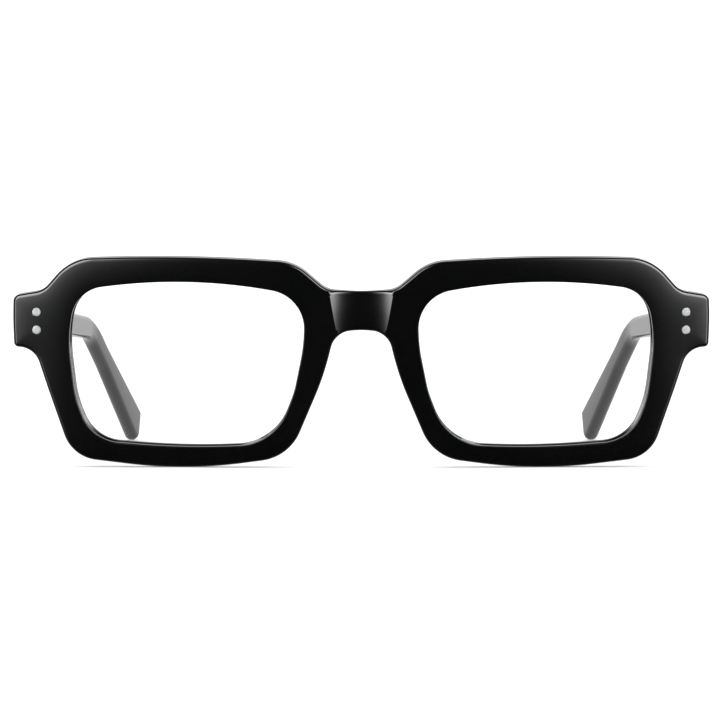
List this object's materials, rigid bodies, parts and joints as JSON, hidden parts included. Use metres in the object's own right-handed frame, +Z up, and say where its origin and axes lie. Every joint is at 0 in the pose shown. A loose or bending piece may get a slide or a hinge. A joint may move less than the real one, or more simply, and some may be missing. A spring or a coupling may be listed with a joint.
{
  "type": "eyeglasses frame",
  "caption": "Thick square-rimmed acetate eyeglasses frame with clear lenses, riveted hinges and folding temples, standing open.",
  "frame": {"origin": "centre of the bounding box in plan, at the level of the table that the rims and temple tips stand on", "axes": "+Z up, the front faces -Y, the open temples run to +Y, +X is the wearer's left"},
  "size_m": [0.143, 0.15, 0.0435],
  "materials": {
    "acetate": "tumbled and polished black acetate",
    "rivet": "fine satin silver",
    "hinge": "satin nickel silver",
    "lens": "clear, anti-reflection coated",
    "core": "drawn wire"
  },
  "bodies": {
    "front_body": {"front": "acetate", "left_lens": "lens", "right_lens": "lens", "left_nose_pad": "acetate", "right_nose_pad": "acetate", "left_front_hinge": "hinge", "right_front_hinge": "hinge", "left_front_rivet_lower": "rivet", "left_front_rivet_upper": "rivet", "right_front_rivet_lower": "rivet", "right_front_rivet_upper": "rivet", "left_hinge_screw": "hinge", "right_hinge_screw": "hinge"},
    "left_temple_body": {"left_temple": "acetate", "left_core_wire": "core", "left_temple_hinge": "hinge", "left_temple_rivet_lower": "rivet", "left_temple_rivet_upper": "rivet"},
    "right_temple_body": {"right_temple": "acetate", "right_core_wire": "core", "right_temple_hinge": "hinge", "right_temple_rivet_lower": "rivet", "right_temple_rivet_upper": "rivet"}
  },
  "joints": [
    {"name": "left_temple_fold", "type": "hinge", "parent": "front_body", "child": "left_temple_body", "pos_m": [0.06517, -0.06322, 0.03086], "axis": [0, -0.1392, 0.9903], "range_deg": [0, 86]},
    {"name": "right_temple_fold", "type": "hinge", "parent": "front_body", "child": "right_temple_body", "pos_m": [-0.06517, -0.06322, 0.03086], "axis": [0, 0.1392, -0.9903], "range_deg": [0, 78]}
  ]
}
